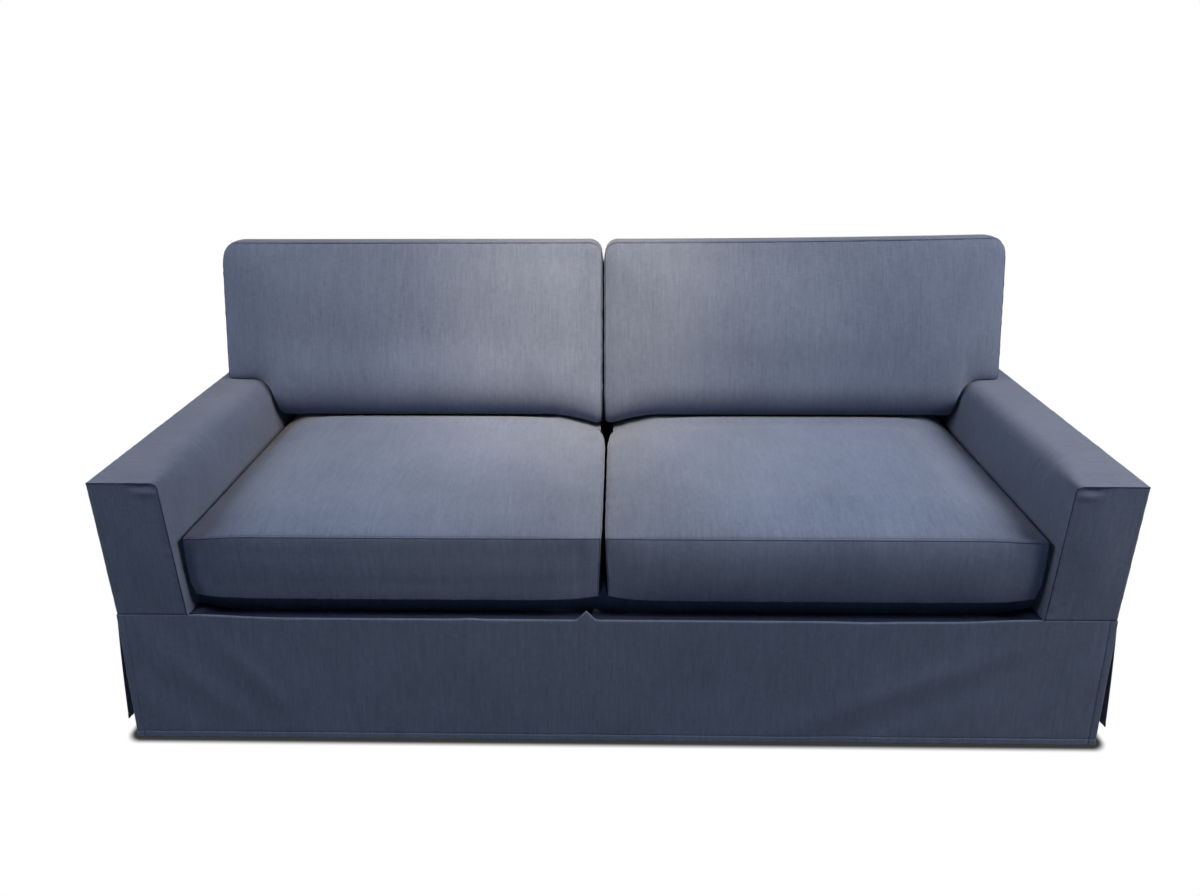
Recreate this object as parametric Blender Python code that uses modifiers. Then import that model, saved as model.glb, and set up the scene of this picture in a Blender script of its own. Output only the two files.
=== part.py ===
"""Fitted slipcover of a two-seat sofa, in the shape in which it hangs over the sofa.

The sofa itself is not built, so the cover is hollow and open at the floor.  Sizes are in
metres in the sofa's own frame: X to the right, Y back from the arm fronts, Z up from the
floor.  An empty then moves everything so that the point that the cover hangs from, under
its top band, is the origin.
"""
import math

import bmesh
import bpy
from mathutils import Vector

# ---------------------------------------------------------------- driving dimensions
WIDTH = 2.03              # over the arms
DEPTH = 0.965             # arm fronts to outside back
ARM_TOP = 0.611
ARM_WIDTH_TOP = 0.139
ARM_WIDTH_FOOT = 0.147
ARM_ROUND = 0.015         # soft inner top edge of an arm at its front
ARM_ROUND_BEHIND = 0.050  # and further back, where the padding is softer
ARM_SOFTENS = 0.16        # share of the arm's length over which it changes
ARM_FILL = 0.004          # the padding swells front, top and side by this much
ARM_TUCK = 0.008          # the arm's seat side goes on below the top of the skirt
BACK_TOP = 0.850          # top band; the back cushions stand above it
BACK_FOOT_Y = 0.806       # inside back, at the height of the seat
BACK_LEAN = 0.19          # how far the back goes back for each metre up
DECK_TOP = 0.330          # cloth under the seat cushions
SKIRT_TOP = 0.315         # seam between body and skirt
HEM = 0.012               # hem above the floor
CLOTH = 0.002
GAP = 0.0003              # between pieces that are sewn together or touch
CLEAR = 0.002             # between hanging edges

# seat and back cushions
SPLIT_X = -0.018          # where the two halves meet, a little left of the middle
SPLIT_GAP = 0.004
SEAT_OUTER_X = 0.862
SEAT_FRONT_Y = 0.020
SEAT_SEAM = 0.478         # front top seam, at the outer end
SEAT_SEAM_LIFT = 0.006    # and this much higher along the rest of it
SEAT_LIFT_DEPTH = 0.40    # share of the depth over which this fades
SEAT_FRONT_FOOT = 0.340   # front lower edge, a little above the deck
SEAT_CORNER_LIFT = 0.010
SEAT_CORNER_ROUND = 0.005
SEAT_LIFT_SHARE = 0.16    # share of the depth over which the front foot is lifted
SEAT_BELLY = 0.007        # the front face swells
SEAT_CREST_Y = 0.612      # the crown ends here
SEAT_FLAT_Y = 0.630       # from here back the seat is flat under the back cushions
SEAT_CROWN = 0.047
SEAT_SWIFT = 0.045        # the crown rises fast over about this depth
SEAT_REAR_GAP = 0.003
SEAT_REST = 0.510         # where the back cushions stand on the seat cushions
BACK_SPLIT_X = -0.027     # the back cushions meet a little further left than the seats
BACK_SPLIT_GAP = 0.006
BACK_FRONT_Y = 0.600      # foot of the back cushions' front
BACK_FRONT_LEAN = 0.259   # the cushions are thicker at the foot
BACK_REAR_GAP = 0.002
BACK_SEAM = 0.944
BACK_TOP_FALL = 0.030     # the top band falls to the rear
BACK_CROWN = 0.042
BACK_ROLL = 0.100         # height over which the front rolls under at the foot
BACK_ROLL_DEPTH = 0.055
BACK_FOOT_ROUND = 0.012   # lower inner corner
BACK_FOOT_SAG = 0.024     # there the foot follows the seat cushion's falling end
BACK_SAG_REACH = 0.092
BACK_EDGE = 0.006         # and is drawn in at its seams
BAND_CROWN = 0.010        # top band of a back cushion
BAND_SWELL = 0.005        # its outer end
CUSHION_ROUND = 0.042     # corners of a back cushion, seen from the front
EAR_STEP = 0.014          # width over which a back cushion steps up onto the arm
ROUND_CELLS = 4           # steps round an arm's inner top edge
MAIN_CELLS = 9            # columns of a back cushion between the arms
EAR_OUTER_X = {-1: 0.988, 1: 0.972}
EAR_RISE = {-1: 0.000, 1: 0.010}

# deck: a sunk strip behind the skirt's top edge, then a rise to the level of the cushions
DECK_TURN = 0.010         # its front edge turns down behind the skirt
DECK_SHELF = 0.052
DECK_SHELF_DROP = 0.024   # at the skirt's top edge
DECK_SINK = 0.016         # and further down behind it
DECK_SINK_DEPTH = 0.018
DECK_RISE = 0.070
DECK_CROWDING = 0.35      # columns lie closer together towards the arms

# skirt
SKIRT_CROWDING = 0.28
SKIRT_FLARE = 0.010       # front and back panel, at the hem
SIDE_FLARE_FRONT = 0.060  # side panel at its front corner, at the hem
SIDE_FLARE_REAR = 0.022
SPLIT_CURL = 0.044        # how far the side panel's front corner turns back
LIP_SAG = 0.007           # front skirt's top edge between the arms

HALF = WIDTH / 2
HANG_POINT = Vector((0.0, 0.918, BACK_TOP - CLOTH))

# soft ridges (height > 0) and troughs of the front skirt, as seen from the front
FRONT_FOLDS = [
    dict(x=-0.748, z=0.168, rise=-55, length=0.095, width=0.022, height=0.0028),
    dict(x=-0.800, z=0.150, rise=-52, length=0.085, width=0.024, height=-0.0020),
    dict(x=-0.858, z=0.140, rise=-50, length=0.090, width=0.024, height=0.0024),
    dict(x=-0.915, z=0.110, rise=-55, length=0.070, width=0.024, height=-0.0016),
    dict(x=-0.980, z=0.107, rise=-69, length=0.080, width=0.022, height=0.0024),
    dict(x=0.585, z=0.140, rise=24, length=0.230, width=0.028, height=0.0028),
    dict(x=0.610, z=0.085, rise=26, length=0.200, width=0.028, height=-0.0024),
    dict(x=0.955, z=0.165, rise=58, length=0.110, width=0.024, height=0.0024),
    dict(x=0.900, z=0.165, rise=60, length=0.090, width=0.026, height=-0.0016),
    dict(x=-0.280, z=0.200, rise=86, length=0.090, width=0.035, height=0.0012),
    dict(x=0.120, z=0.150, rise=80, length=0.110, width=0.045, height=-0.0012),
]
# side skirt: x here runs back from the arm's front
SIDE_FOLDS = [
    dict(x=0.200, z=0.100, rise=80, length=0.120, width=0.050, height=-0.007),
    dict(x=0.420, z=0.110, rise=94, length=0.130, width=0.050, height=0.006),
    dict(x=0.700, z=0.090, rise=84, length=0.120, width=0.055, height=-0.005),
]
BACK_FOLDS = [
    dict(x=-0.600, z=0.120, rise=97, length=0.120, width=0.060, height=0.006),
    dict(x=-0.150, z=0.100, rise=85, length=0.110, width=0.070, height=-0.005),
    dict(x=0.450, z=0.110, rise=92, length=0.120, width=0.060, height=0.006),
]
# outside arm: x again runs back from the arm's front
ARM_FOLDS = [
    dict(x=0.300, z=0.450, rise=35, length=0.180, width=0.045, height=0.003),
    dict(x=0.620, z=0.430, rise=-30, length=0.180, width=0.050, height=-0.003),
]
# small lifts of the front skirt's top edge
LIP_PEAKS = [
    dict(x=-0.062, width=0.012, height=0.006),
    dict(x=-0.290, width=0.020, height=0.002),
    dict(x=0.520, width=0.050, height=-0.002),
]

CLOTH_COLOUR = (0.060, 0.085, 0.150)
SHADE_COLOUR = (0.045, 0.064, 0.115)
CUSHION_COLOUR = (0.070, 0.095, 0.160)


# ---------------------------------------------------------------- small helpers
def mix(start, end, share):
    return start + (end - start) * share


def ease(value):
    """0 up to 0, 1 from 1 on, with soft ends."""
    value = min(1.0, max(0.0, value))
    return value * value * (3 - 2 * value)


def held(share, margin=0.12):
    """0 at both ends of a span, 1 inside: keeps folds away from sewn edges."""
    return ease(share / margin) * ease((1 - share) / margin)


def folds(rows, x, z):
    total = 0.0
    for row in rows:
        turn = math.radians(row["rise"])
        along = (x - row["x"]) * math.cos(turn) + (z - row["z"]) * math.sin(turn)
        across = -(x - row["x"]) * math.sin(turn) + (z - row["z"]) * math.cos(turn)
        total += row["height"] * math.exp(-(along / row["length"]) ** 2 - (across / row["width"]) ** 2)
    return total


def arm_inner_x(z):
    """Seat side of an arm, which leans a little outward as it rises."""
    share = (z - SKIRT_TOP) / (ARM_TOP - SKIRT_TOP)
    return HALF - mix(ARM_WIDTH_FOOT, ARM_WIDTH_TOP, share)


def inside_back_y(z):
    return BACK_FOOT_Y + (z - SEAT_REST) * BACK_LEAN


def round_drop(distance, radius):
    """How far a rounded corner falls at a distance from its end."""
    reach = min(radius, max(0.0, radius - distance))
    return radius - math.sqrt(radius ** 2 - reach ** 2)


def arm_top_drop(x):
    """How far an arm's top has curved down at a place across it, behind its front end."""
    return round_drop(abs(x) - arm_inner_x(ARM_TOP - ARM_ROUND_BEHIND), ARM_ROUND_BEHIND)


def lip_height(x):
    """Top edge of the front skirt: level under the arms, sagging between them."""
    edge = SKIRT_TOP - GAP
    inside = arm_inner_x(SKIRT_TOP) - abs(x)
    if inside <= 0:
        return edge
    drop = LIP_SAG * ease(inside / 0.20)
    for peak in LIP_PEAKS:
        drop -= peak["height"] * math.exp(-((x - peak["x"]) / peak["width"]) ** 2)
    return edge - max(0.0, drop)


# ---------------------------------------------------------------- building blocks
def material(name, colour, roughness=0.9):
    cloth = bpy.data.materials.new(name)
    cloth.use_nodes = True
    shader = cloth.node_tree.nodes["Principled BSDF"]
    shader.inputs["Base Color"].default_value = (*colour, 1.0)
    shader.inputs["Roughness"].default_value = roughness
    shader.inputs["Metallic"].default_value = 0.0
    cloth.diffuse_color = (*colour, 1.0)
    return cloth


def add_object(name, bm, colour):
    """Turn a bmesh into a named object of the cover, hung from the empty."""
    mesh = bpy.data.meshes.new(name)
    bm.normal_update()
    bm.to_mesh(mesh)
    bm.free()
    mesh.shade_smooth()
    mesh.set_sharp_from_angle(angle=math.radians(40))
    mesh.materials.append(material(name + "_cloth", colour))
    piece = bpy.data.objects.new(name, mesh)
    bpy.data.collections["sofa_slipcover"].objects.link(piece)
    piece.parent = bpy.data.objects["hang_point"]
    return piece


def sheet(name, cells, place, outward, colour=CLOTH_COLOUR, cut=None):
    """A panel: a grid whose points place(u, v) sets, made one cloth thick away from outward."""
    bm = bmesh.new()
    bmesh.ops.create_grid(bm, x_segments=cells[0], y_segments=cells[1], size=0.5)
    if cut:
        outside = [face for face in bm.faces if cut(*(face.calc_center_median().xy + Vector((0.5, 0.5))))]
        bmesh.ops.delete(bm, geom=outside, context="FACES")
    for vert in bm.verts:
        vert.co = place(vert.co.x + 0.5, vert.co.y + 0.5)
    bm.normal_update()
    facing = sum((face.normal * face.calc_area() for face in bm.faces), Vector())
    if facing.dot(Vector(outward)) < 0:
        bmesh.ops.reverse_faces(bm, faces=bm.faces)
    piece = add_object(name, bm, colour)
    solidify = piece.modifiers.new("cloth", "SOLIDIFY")
    solidify.thickness = CLOTH
    solidify.offset = -1
    solidify.use_even_offset = True
    return piece


def cushion(name, cells, place):
    """A filled form: a cube cut into cells, whose points place(a, b, c) sets."""
    bm = bmesh.new()
    bmesh.ops.create_cube(bm, size=1.0)
    for axis, count in enumerate(cells):
        along = [edge for edge in bm.edges if abs((edge.verts[0].co - edge.verts[1].co)[axis]) > 0.5]
        bmesh.ops.subdivide_edges(bm, edges=along, cuts=count - 1, use_grid_fill=True)
    for vert in bm.verts:
        vert.co = place(*(vert.co + Vector((0.5, 0.5, 0.5))))
    if bm.calc_volume(signed=True) < 0:
        bmesh.ops.reverse_faces(bm, faces=bm.faces)
    return add_object(name, bm, CUSHION_COLOUR)


# ---------------------------------------------------------------- arms
def arm_front(side, label):
    """Front of an arm: straight outer edge, soft inner top corner, slightly filled out."""
    crowding = 1.7

    def place(u, v):
        from_inner = u ** crowding
        top = ARM_TOP - round_drop(from_inner * ARM_WIDTH_TOP, ARM_ROUND)
        z = mix(SKIRT_TOP, top, v)
        x = mix(arm_inner_x(z), HALF, from_inner)
        y = -ARM_FILL * held(u, 0.5) * held(v, 0.5)
        return Vector((side * x, y, z))

    sheet("arm_front_" + label, (8, 7), place, (0, -1, 0))


def arm_section(side, radius):
    """Points from the outer top edge over the arm and down its seat side."""
    top_cells, side_cells = 4, 5
    inner = arm_inner_x(ARM_TOP - radius)
    points = [(mix(HALF, inner + radius, i / top_cells), ARM_TOP) for i in range(top_cells)]
    for i in range(ROUND_CELLS):
        turn = math.radians(90 * i / ROUND_CELLS)
        points.append((inner + radius * (1 - math.sin(turn)), ARM_TOP - radius * (1 - math.cos(turn))))
    for i in range(side_cells + 1):
        z = mix(ARM_TOP - radius, SKIRT_TOP - ARM_TUCK, i / side_cells)
        points.append((arm_inner_x(z), z))
    return [Vector((side * x, 0, z)) for x, z in points]


def arm_cover(side, label):
    """Top and seat side of an arm in one piece, rounded between them."""
    last = len(arm_section(side, ARM_ROUND)) - 1
    crowding = 1.3

    def place(u, v):
        back = v ** crowding
        radius = mix(ARM_ROUND, ARM_ROUND_BEHIND, ease(back / ARM_SOFTENS))
        point = arm_section(side, radius)[round(u * last)]
        rear = inside_back_y(point.z - CLOTH) - GAP
        point.y = mix(CLOTH + GAP, rear, back)
        fill = held(u, 0.45) * ease(back / 0.12) * ease((0.60 - back) / 0.20)
        point += Vector((-0.5 * side, 0, 1)) * ARM_FILL * fill
        return point

    sheet("arm_cover_" + label, (last, 11), place, (-side, 0, 0.5))


def arm_outside(side, label):
    def place(u, v):
        y = mix(CLOTH + GAP, DEPTH - CLOTH - GAP, u)
        z = mix(SKIRT_TOP, ARM_TOP - CLOTH - GAP, v)
        swell = held(u) * held(v, 0.3) * folds(ARM_FOLDS, y, z)
        return Vector((side * (HALF + swell), y, z))

    sheet("arm_outside_" + label, (12, 6), place, (side, 0, 0))


# ---------------------------------------------------------------- back
def inside_back():
    """Behind the cushions: full width above the arms, between them below."""
    inner, end_cells, main_cells, low_rows, high_rows = arm_inner_x(ARM_TOP) + CLOTH, 2, 10, 3, 3
    columns, rows = 2 * end_cells + main_cells, low_rows + high_rows
    wing_foot = ARM_TOP - CLOTH + CLOTH * BACK_LEAN

    def place(u, v):
        column, row = round(u * columns), round(v * rows)
        if row <= low_rows:
            z = mix(DECK_TOP - CLOTH, wing_foot, row / low_rows)
        else:
            z = mix(wing_foot, BACK_TOP - CLOTH - GAP, (row - low_rows) / high_rows)
        if column < end_cells:
            x = -mix(HALF, inner, column / end_cells)
        elif column > end_cells + main_cells:
            x = mix(inner, HALF, (column - end_cells - main_cells) / end_cells)
        else:
            reach = arm_inner_x(min(z, ARM_TOP)) + CLOTH
            x = mix(-reach, reach, (column - end_cells) / main_cells)
        return Vector((x, inside_back_y(z), z))

    def cut(u, v):
        beside_arm = u * columns < end_cells or u * columns > end_cells + main_cells
        return beside_arm and v * rows < low_rows

    sheet("inside_back", (columns, rows), place, (0, -1, 0), SHADE_COLOUR, cut)


def back_end(side, label):
    """Narrow strip that closes the end of the back above an arm."""
    def place(u, v):
        z = mix(ARM_TOP - CLOTH, BACK_TOP - CLOTH - GAP, v)
        y = mix(inside_back_y(z) + CLOTH * 1.1 + GAP, DEPTH - CLOTH - GAP, u)
        return Vector((side * HALF, y, z))

    sheet("back_end_" + label, (2, 4), place, (side, 0, 0))


def back_top():
    def place(u, v):
        x = mix(-HALF, HALF, u)
        y = mix(inside_back_y(BACK_TOP), DEPTH, v)
        z = BACK_TOP + 0.003 * held(u) * held(v, 0.5)
        return Vector((x, y, z))

    sheet("back_top", (16, 2), place, (0, 0, 1))


def back_outside():
    def place(u, v):
        x = mix(-HALF, HALF, u)
        z = mix(SKIRT_TOP, BACK_TOP - CLOTH - GAP, v)
        y = DEPTH + 0.004 * held(u, 0.4) * held(v, 0.4) * math.sin(7 * x + 5 * z)
        return Vector((x, y, z))

    sheet("back_outside", (16, 6), place, (0, 1, 0))


# ---------------------------------------------------------------- deck and skirt
def deck_rows():
    """Places from front to rear across the deck, after its turned-down edge."""
    shelf_cells, rise_cells, level_cells = 3, 4, 6
    front = CLOTH + GAP
    rear = inside_back_y(DECK_TOP - CLOTH) - GAP
    foot, head = DECK_SHELF, DECK_SHELF + DECK_RISE
    shelf = [mix(front, foot, i / shelf_cells) for i in range(shelf_cells)]
    rise = [mix(foot, head, i / rise_cells) for i in range(rise_cells)]
    level = [mix(head, rear, i / level_cells) for i in range(level_cells + 1)]
    return shelf + rise + level


def deck_drop(y):
    """How far the deck lies below the level of the cushions."""
    sunk = DECK_SHELF_DROP + DECK_SINK * ease((y - CLOTH) / DECK_SINK_DEPTH)
    return sunk * (1 - ease((y - DECK_SHELF) / DECK_RISE))


def deck():
    """Cloth under the seat cushions: a sunk strip in front, tucked behind the skirt's top edge."""
    places = deck_rows()
    rows = len(places)

    def place(u, v):
        row = round(v * rows)
        y = places[max(0, row - 1)]
        z = DECK_TOP - deck_drop(y)
        if row == 0:
            z -= DECK_TURN
        reach = arm_inner_x(max(z, SKIRT_TOP - 0.02)) - GAP
        spread = 2 * u - 1
        x = reach * ((1 + DECK_CROWDING) * spread - DECK_CROWDING * spread ** 3)
        return Vector((x, y, z))

    sheet("deck", (14, rows), place, (0, -0.2, 1), SHADE_COLOUR)


def skirt_front():
    def place(u, v):
        fall = 1 - v
        spread = 2 * u - 1
        x = (HALF + SKIRT_FLARE * fall) * ((1 + SKIRT_CROWDING) * spread - SKIRT_CROWDING * spread ** 3)
        z = mix(HEM, lip_height(x), v)
        drape = ease(fall / 0.30) * folds(FRONT_FOLDS, x, z)
        return Vector((x, -SKIRT_FLARE * fall - drape, z))

    sheet("skirt_front", (48, 8), place, (0, -1, 0))


def skirt_side(side, label):
    """Side panel, free at both corners: its front corner flares out and turns back."""
    def place(u, v):
        fall = 1 - v
        front = CLOTH + CLEAR + SPLIT_CURL * fall ** 1.2
        rear = DEPTH - CLOTH - CLEAR - 0.014 * fall
        y = mix(front, rear, u)
        z = mix(HEM, SKIRT_TOP - GAP, v)
        flare = mix(SIDE_FLARE_REAR, SIDE_FLARE_FRONT, (1 - u) ** 1.6) * fall
        drape = ease(fall / 0.30) * folds(SIDE_FOLDS, y, z)
        return Vector((side * (HALF + flare + drape), y, z))

    sheet("skirt_side_" + label, (18, 6), place, (side, 0, 0), SHADE_COLOUR)


def skirt_back():
    def place(u, v):
        fall = 1 - v
        x = mix(-HALF, HALF, u)
        z = mix(HEM, SKIRT_TOP - GAP, v)
        drape = ease(fall / 0.30) * folds(BACK_FOLDS, x, z)
        return Vector((x, DEPTH + SKIRT_FLARE * fall + drape, z))

    sheet("skirt_back", (24, 5), place, (0, 1, 0))


# ---------------------------------------------------------------- cushions
def seat_rise(across, back):
    """Share of a seat cushion's crown at a place on its top."""
    swift = 1 - math.exp(-back * (SEAT_CREST_Y - SEAT_FRONT_Y) / SEAT_SWIFT)
    return (1 - abs(across) ** 5) * (0.6 * swift + 0.4 * (1 - (1 - back) ** 2))


def seat_cushion(side, label):
    """Box cushion: crisp front edges, strong crown, flat under and behind."""
    inner = SPLIT_X + side * SPLIT_GAP / 2
    outer = side * SEAT_OUTER_X
    foot = DECK_TOP + GAP
    open_rows, flat_rows, crowding = 10, 3, 1.35
    rows = open_rows + 1 + flat_rows

    def place(a, b, c):
        row = round(b * rows)
        across = 2 * a - 1
        end = abs(across) ** 9
        back = min(1.0, row / open_rows) ** crowding
        near_front = 1 - min(1.0, back / SEAT_LIFT_SHARE)
        low = foot + (SEAT_FRONT_FOOT - foot + SEAT_CORNER_LIFT * end) * near_front ** 2
        lift = SEAT_SEAM_LIFT * ease((1 - a) / 0.15) * (1 - ease(back / SEAT_LIFT_DEPTH))
        high = SEAT_SEAM + lift + SEAT_CROWN * seat_rise(across, back)
        if row > open_rows:
            high = min(high, SEAT_REST)
        z = mix(low, high, c)
        belly = 4 * c * (1 - c)
        towards_inner, towards_outer = ease(1 - a / 0.1), ease(1 - (1 - a) / 0.1)
        x = mix(inner, outer, a)
        x += side * SEAT_CORNER_ROUND * end * near_front ** 2 * (towards_inner - towards_outer)
        x += side * 0.003 * belly * towards_outer
        y = mix(SEAT_FRONT_Y, SEAT_CREST_Y, back)
        y -= SEAT_BELLY * belly * ease(1 - back / 0.10) * (1 - across ** 8)
        y += 0.003 * end * near_front ** 2
        if row > open_rows:
            y = mix(SEAT_FLAT_Y, inside_back_y(z) - SEAT_REAR_GAP, (row - open_rows - 1) / flat_rows)
        return Vector((x, y, z))

    cushion("seat_cushion_" + label, (16, rows, 3), place)


def back_cushion_columns(side):
    """Places across a back cushion, and how many of them lie over the arm."""
    inner = BACK_SPLIT_X + side * BACK_SPLIT_GAP / 2
    arm_edge = arm_inner_x(ARM_TOP - ARM_ROUND_BEHIND) - GAP
    outer = side * EAR_OUTER_X[side]
    corner = [CUSHION_ROUND * share for share in (0.0, 0.15, 0.46, 1.0)]
    from_split = [inner + side * reach for reach in corner + [BACK_SAG_REACH]]
    step_start = side * (arm_edge - EAR_STEP)
    main = [mix(from_split[-1], step_start, i / MAIN_CELLS) for i in range(1, MAIN_CELLS + 1)]
    turns = [math.radians(90 * (1 - i / ROUND_CELLS)) for i in range(ROUND_CELLS + 1)]
    over_round = [side * (arm_edge + ARM_ROUND_BEHIND * (1 - math.sin(turn))) for turn in turns]
    to_end = [outer - side * reach for reach in reversed(corner)]
    return from_split + main + over_round + to_end, len(over_round) + len(to_end)


def back_cushion(side, label):
    """Box cushion that leans on the back and steps out over the arm at its outer end."""
    columns, over_arm = back_cushion_columns(side)
    last = len(columns) - 1
    inner, outer = columns[0], columns[-1]
    span = abs(outer - inner)

    def place(a, b, c):
        column = round(a * last)
        x = columns[column]
        from_inner, to_outer = abs(x - inner), abs(outer - x)
        share = from_inner / span
        high = BACK_SEAM + EAR_RISE[side] * share ** 2
        high -= round_drop(from_inner, CUSHION_ROUND) + round_drop(to_outer, CUSHION_ROUND)
        up = 0.5 - 0.5 * math.cos(math.pi * c)
        if column > last - over_arm:
            low = ARM_TOP + GAP - arm_top_drop(abs(x) + GAP)
            roll = 0.0
        else:
            sag = BACK_FOOT_SAG * (1 - min(1.0, from_inner / BACK_SAG_REACH)) ** 2
            low = SEAT_REST + GAP - sag + round_drop(from_inner, BACK_FOOT_ROUND)
            above_foot = mix(c, up, 0.5) * (high - low)
            roll = BACK_ROLL_DEPTH * round_drop(above_foot, BACK_ROLL) / BACK_ROLL
        z = mix(low, high, mix(c, up, 0.5))
        fill = (1 - abs(2 * share - 1) ** 4) * (1 - abs(2 * c - 1) ** 3.2)
        edge = (abs(2 * share - 1) ** 14 + abs(2 * c - 1) ** 14) * BACK_EDGE
        front = BACK_FRONT_Y + (z - SEAT_REST) * BACK_FRONT_LEAN - BACK_CROWN * fill + edge + roll
        fall = BACK_TOP_FALL * ease((c - 0.6) / 0.4)
        rear = inside_back_y(z - fall) - BACK_REAR_GAP
        y = mix(front, rear, b)
        middle = 4 * b * (1 - b)
        z += BAND_CROWN * middle * ease((c - 0.6) / 0.4) - fall * b
        x += side * BAND_SWELL * middle * ease((share - 0.96) / 0.04)
        return Vector((x, y, z))

    cushion("back_cushion_" + label, (last, 3, 12), place)


# ---------------------------------------------------------------- the whole cover
def clear_scene():
    for old in list(bpy.data.objects):
        bpy.data.objects.remove(old, do_unlink=True)


def main():
    clear_scene()
    cover = bpy.data.collections.new("sofa_slipcover")
    bpy.context.scene.collection.children.link(cover)
    hang_point = bpy.data.objects.new("hang_point", None)
    hang_point.location = -HANG_POINT
    cover.objects.link(hang_point)

    for side, label in ((-1, "left"), (1, "right")):
        arm_front(side, label)
        arm_cover(side, label)
        arm_outside(side, label)
        back_end(side, label)
        skirt_side(side, label)
        seat_cushion(side, label)
        back_cushion(side, label)
    inside_back()
    back_top()
    back_outside()
    deck()
    skirt_front()
    skirt_back()
    bpy.context.view_layer.update()


main()
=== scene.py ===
"""Looks of a fitted slipcover for a two-seat sofa: its panels, cushions, seams and studio.

Shapes are worked out in the sofa's own frame, in metres: X to the right, Y back from the arm
fronts and Z up from the floor.  They move by -HANG_POINT into the frame of the solids, whose
origin is the point that the cover hangs from, under its top band.
"""

import math
from collections import namedtuple

import bpy
import numpy as np
from mathutils import Matrix, Vector


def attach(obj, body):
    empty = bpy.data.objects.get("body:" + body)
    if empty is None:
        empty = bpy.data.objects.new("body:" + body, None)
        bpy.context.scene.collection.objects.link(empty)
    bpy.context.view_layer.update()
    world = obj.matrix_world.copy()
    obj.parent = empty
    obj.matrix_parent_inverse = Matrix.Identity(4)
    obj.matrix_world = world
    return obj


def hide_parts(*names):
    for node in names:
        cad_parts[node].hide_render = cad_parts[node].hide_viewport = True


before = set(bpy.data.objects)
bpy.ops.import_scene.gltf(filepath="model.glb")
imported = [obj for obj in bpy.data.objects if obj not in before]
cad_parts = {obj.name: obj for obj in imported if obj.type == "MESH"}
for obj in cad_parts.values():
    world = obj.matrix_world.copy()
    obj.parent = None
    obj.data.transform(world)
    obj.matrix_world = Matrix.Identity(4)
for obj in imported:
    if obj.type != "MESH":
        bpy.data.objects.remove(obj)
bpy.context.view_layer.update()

# ---------------- sizes shared with the solids
HALF = 1.015  # half the width over the arms
DEPTH = 0.965
ARM_TOP = 0.611
ARM_WIDTH_TOP = 0.139
ARM_WIDTH_FOOT = 0.147
ARM_ROUND = 0.015  # inner top edge of an arm at its front
ARM_ROUND_BEHIND = 0.050  # and further back, where the padding is softer
ARM_SOFT_Y = 0.160  # from here on
ARM_COVER_LENGTH = 0.800
ARM_COVER_TUCK = 0.008  # an arm's cover goes on below the deck's edge
ARM_COVER_LOW = 0.010  # but no lower than this below the skirt's top
ARM_SWELL = 0.004  # padding under the middle of an arm's cover
ARM_SWELL_START = 0.12  # full from this far behind its front
ARM_SWELL_END = 0.60  # and gone from here on
ARM_SWELL_FADE = 0.20
ARM_FRONT_SWELL = 0.004
BACK_TOP = 0.850
BACK_FOOT_Y = 0.806
BACK_LEAN = 0.19
BAND_RISE = 0.003  # the back's top band is a little fuller in its middle
BACK_WAVE = 0.004  # slow unevenness of the outside back
DECK_TOP = 0.330
SKIRT_TOP = 0.315
HEM = 0.012
ARM_HEIGHT = ARM_TOP - SKIRT_TOP
SKIRT_HEIGHT = SKIRT_TOP - HEM
CLOTH = 0.002
GAP = 0.0003
CLEAR = 0.002

SEAT_REST = 0.510
SPLIT_X = -0.018
SPLIT_GAP = 0.006
SEAT_OUTER_X = 0.862
SEAT_FRONT_Y = 0.020
SEAT_DEPTH = BACK_FOOT_Y - 0.003 - SEAT_FRONT_Y  # 3 mm clear of the inside back
SEAT_SEAM = 0.478  # top seam at the outer front corner
SEAT_SEAM_LIFT = 0.006  # and this much higher along the rest of the front
SEAT_LIFT_DEPTH = 0.40  # share of the depth over which that fades
SEAT_LIFT_WIDTH = 0.15  # and share of the width over which it starts
SEAT_FRONT_FOOT = 0.340
SEAT_FOOT_REACH = 0.16  # share of the depth over which the foot rises to the front
SEAT_CORNER_LIFT = 0.010
SEAT_CORNER_ROUND = 0.005
SEAT_ROUND_LOW = 1.5  # share of that rounding at the foot
SEAT_ROUND_HIGH = 0.35  # and at the top seam
SEAT_ROUND_OUTER = 0.3  # share of the height in which it changes at the arm
SEAT_CORNER_POWER = 9  # how near the ends the corners' shape stays
SEAT_END = 0.10  # share of the width or depth that an end's shape takes
SEAT_CREST_Y = 0.612  # the crown ends here
SEAT_FLAT_Y = 0.630  # and is pressed flat from here on
SEAT_CROWN = 0.047
SEAT_SWIFT = 0.036  # the crown rises fast over about this depth
SEAT_SWIFT_SHARE = 0.62  # with this share of its height
SEAT_FULL_OUTER = 8  # how far the crown stays full towards the arm
SEAT_FULL_INNER = 5  # and towards the split
SEAT_REAR_LOW = dict(width=0.20, start=0.72, share=0.75)  # the crown falls at the split's rear end
SEAT_REAR_ROUND = 0.014  # rear inner corner, seen from above
SEAT_REAR_REACH = 0.20
SEAT_REAR_WIDTH = 0.06  # share of the width that it takes
SEAT_LEAN_START = 0.7  # behind this share of the depth the cushion leans with the back
SEAT_BELLY = 0.010  # the front face swells
SEAT_BELLY_UP = 2.6  # how full it stays towards its seams
SEAT_BELLY_ACROSS = 8  # and towards its ends
SEAT_END_BELLY = 0.003  # and so does the face at the arm
SEAT_END_BACK = 0.003  # the front's ends lie back
BACK_SPLIT_X = -0.027  # the back cushions meet a little further left than the seats
BACK_SPLIT_GAP = 0.006
BACK_THICK = 0.165
BACK_FRONT_Y = 0.600
BACK_FRONT_LEAN = 0.259  # the cushion is thicker at its foot
BACK_SEAM = 0.944
BACK_UPPER = 0.6  # share of the height from which the top band takes over
BACK_TOP_FALL = 0.030  # the top band follows the lean of the cushion
BACK_CROWN = 0.040
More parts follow.
